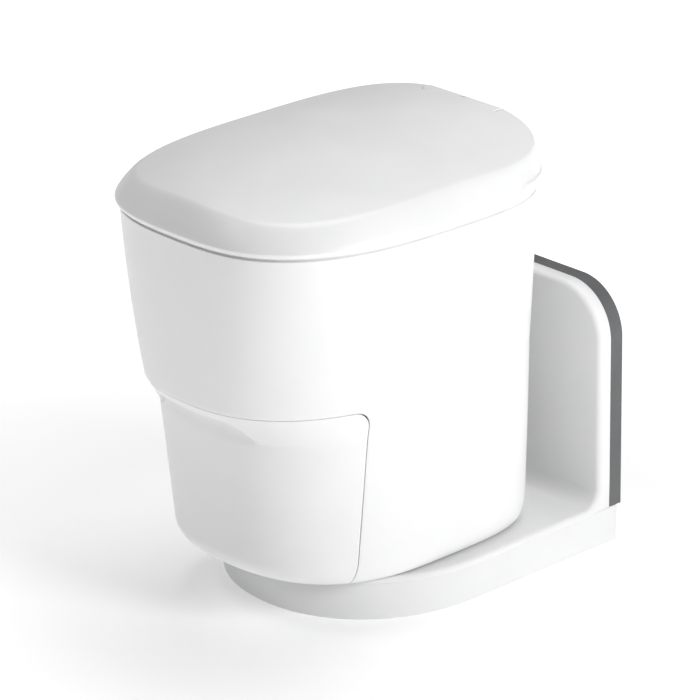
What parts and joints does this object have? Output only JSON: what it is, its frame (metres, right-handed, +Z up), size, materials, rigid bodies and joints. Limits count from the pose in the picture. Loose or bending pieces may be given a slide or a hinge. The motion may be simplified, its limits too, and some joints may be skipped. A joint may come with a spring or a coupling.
{
  "type": "film-sealing vehicle toilet",
  "caption": "Motorhome toilet with hinged lid and seat, front waste drawer and film-sealing jaws, turning on an L-shaped floor and wall plinth.",
  "frame": {"origin": "on the floor, on the swivel axis, at the centre of the floor plate's bolt circle", "axes": "+Z up; -Y towards the nose of the toilet and its waste drawer; +Y towards the wall; +X to the right seen from the nose"},
  "size_m": [0.3898, 0.5643, 0.5475],
  "materials": {
    "white_shell": "satin injection-moulded plastic",
    "white_plinth": "satin moulded plastic",
    "dark_spacer": "matt dark grey",
    "inner_plastic": "matt grey moulding",
    "bowl_plastic": "smooth gloss",
    "black_plastic": "matt",
    "bearing_plastic": "self-lubricating nylon",
    "steel": "zinc-plated",
    "bright_rod": "ground and polished",
    "alu_bar": "anodised",
    "soft_rubber": "soft",
    "red_silicone": "soft silicone",
    "film": "thin sealing film",
    "board_green": "lacquered board",
    "button_grey": "satin"
  },
  "bodies": {
    "plinth": {"plinth_skirt": "white_plinth", "adapter_cover": "white_plinth", "wall_spacer": "dark_spacer", "power_gland": "black_plastic", "floor_plate": "steel", "swivel_column": "steel", "bearing_glides": "bearing_plastic", "spigot_bush": "bearing_plastic", "swivel_stops": "steel"},
    "housing": {"housing_shell": "white_shell", "housing_base": "steel", "swivel_ring": "alu_bar", "retaining_ring": "steel", "top_rim": "white_shell", "rear_deck": "white_shell", "hinge_block_left": "white_shell", "hinge_block_right": "white_shell", "hinge_pin": "bright_rod", "damper_left": "black_plastic", "damper_right": "black_plastic", "bowl_funnel": "bowl_plastic", "film_cartridge": "inner_plastic", "film_tube": "film", "chute_tray": "inner_plastic", "cartridge_shelf": "inner_plastic", "spacer_posts": "alu_bar", "side_plate_left": "steel", "side_plate_right": "steel", "bin_runner_left": "steel", "bin_runner_right": "steel", "guide_columns": "bright_rod", "feed_motor": "black_plastic", "control_board": "board_green", "board_cover": "inner_plastic", "board_posts": "alu_bar", "limit_switches": "black_plastic", "button_bezel": "button_grey"},
    "seat": {"seat_ring": "white_shell", "seat_pads": "soft_rubber"},
    "lid": {"lid_shell": "white_shell", "lid_inner": "white_shell", "lid_pads": "soft_rubber"},
    "drawer": {"drawer_front": "white_shell", "drawer_frame": "inner_plastic", "bin_slide_left": "steel", "bin_slide_right": "steel", "bin_tub": "inner_plastic"},
    "button": {"start_button": "button_grey"},
    "film_frame": {"feed_frame": "inner_plastic", "jaw_rods": "bright_rod", "jaw_motor": "black_plastic"},
    "front_jaw": {"jaw_front": "alu_bar", "heater_bar": "steel"},
    "rear_jaw": {"jaw_rear": "alu_bar", "pressure_pad": "red_silicone"},
    "jaw_drive": {"jaw_screw": "bright_rod"},
    "feed_drive": {"feed_screw": "bright_rod"}
  },
  "joints": [
    {"name": "swivel", "type": "hinge", "parent": "plinth", "child": "housing", "pos_m": [0, 0, 0.05], "axis": [0, 0, 1], "range_deg": [-90, 90]},
    {"name": "seat_hinge", "type": "hinge", "parent": "housing", "child": "seat", "pos_m": [0, 0.138, 0.53], "axis": [1, 0, 0], "range_deg": [-95, 0]},
    {"name": "lid_hinge", "type": "hinge", "parent": "seat", "child": "lid", "pos_m": [0, 0.138, 0.53], "axis": [-1, 0, 0], "range_deg": [0, 98]},
    {"name": "bin_slide", "type": "slide", "parent": "housing", "child": "drawer", "axis": [0, -1, 0], "range_m": [0, 0.25]},
    {"name": "start_press", "type": "slide", "parent": "housing", "child": "button", "axis": [0, 0, -1], "range_m": [0, 0.0015], "stiffness_N_per_m": 400, "springref_m": -0.0005},
    {"name": "film_feed", "type": "slide", "parent": "housing", "child": "film_frame", "axis": [0, 0, -1], "range_m": [0, 0.052]},
    {"name": "feed_screw_turn", "type": "hinge", "parent": "housing", "child": "feed_drive", "pos_m": [-0.153, -0.058, 0.34], "axis": [0, 0, 1], "range_deg": [0, 1600]},
    {"name": "jaw_close", "type": "slide", "parent": "film_frame", "child": "front_jaw", "axis": [0, 1, 0], "range_m": [0, 0.0515]},
    {"name": "jaw_rear_close", "type": "slide", "parent": "film_frame", "child": "rear_jaw", "axis": [0, 1, 0], "range_m": [-0.0515, 0]},
    {"name": "jaw_screw_turn", "type": "hinge", "parent": "film_frame", "child": "jaw_drive", "pos_m": [0.14, -0.095, 0.357], "axis": [0, 1, 0], "range_deg": [0, 1600]}
  ],
  "couplings": [
    {"joint": "jaw_rear_close", "follows": "jaw_close", "ratio": -1},
    {"joint": "jaw_screw_turn", "follows": "jaw_close", "rad_per_m": 523.6},
    {"joint": "feed_screw_turn", "follows": "film_feed", "rad_per_m": 523.6}
  ]
}
